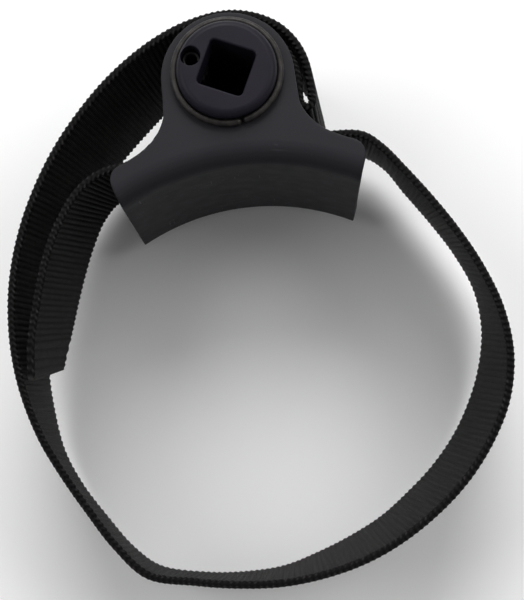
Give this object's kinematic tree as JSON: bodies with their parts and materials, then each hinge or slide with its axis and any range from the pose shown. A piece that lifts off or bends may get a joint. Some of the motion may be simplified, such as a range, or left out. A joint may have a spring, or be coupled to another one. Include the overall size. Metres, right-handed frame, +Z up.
{
  "type": "strap oil filter wrench",
  "caption": "Strap oil filter wrench: a pressed steel saddle bracket carries a square-drive spindle that winds a wide nylon strap into a loop round the filter.",
  "frame": {"origin": "middle of the footprint, on the surface that the tool lies on", "axes": "+Z up along the spindle axis, away from the surface; +Y from the filter towards the spindle; +X across the bracket's horns"},
  "size_m": [0.1372, 0.1592, 0.0696],
  "materials": {
    "bracket_paint": "satin dark grey, lightly scratched",
    "spindle_steel": "blued steel, satin",
    "pin_steel": "dark oiled spring steel",
    "ring_wire": "oiled spring wire",
    "webbing": "black ribbed nylon webbing"
  },
  "bodies": {
    "root": {"bracket": "bracket_paint", "strap_slack_fold": "webbing", "strap_loop_left": "webbing", "strap_loop_right": "webbing", "strap_channel_run": "webbing", "strap_free_tail": "webbing"},
    "spindle": {"drive_spindle": "spindle_steel", "spring_pin": "pin_steel", "upper_snap_ring": "ring_wire", "lower_snap_ring": "ring_wire", "strap_anchor_eye": "webbing", "strap_inner_turn": "webbing"},
    "loop_end": {"strap_loop_far_end": "webbing"}
  },
  "joints": [
    {"name": "spindle_turn", "type": "hinge", "parent": "root", "child": "spindle", "pos_m": [-0.00079, 0.05848, 0.0348], "axis": [0, 0, 1], "range_deg": [0, 120]},
    {"name": "loop_draw", "type": "slide", "parent": "root", "child": "loop_end", "axis": [0, 1, 0], "range_m": [0, 0.0241], "deforming": ["strap_loop_left", "strap_loop_right"]}
  ],
  "couplings": [
    {"joint": "loop_draw", "follows": "spindle_turn", "m_per_rad": 0.011459}
  ]
}
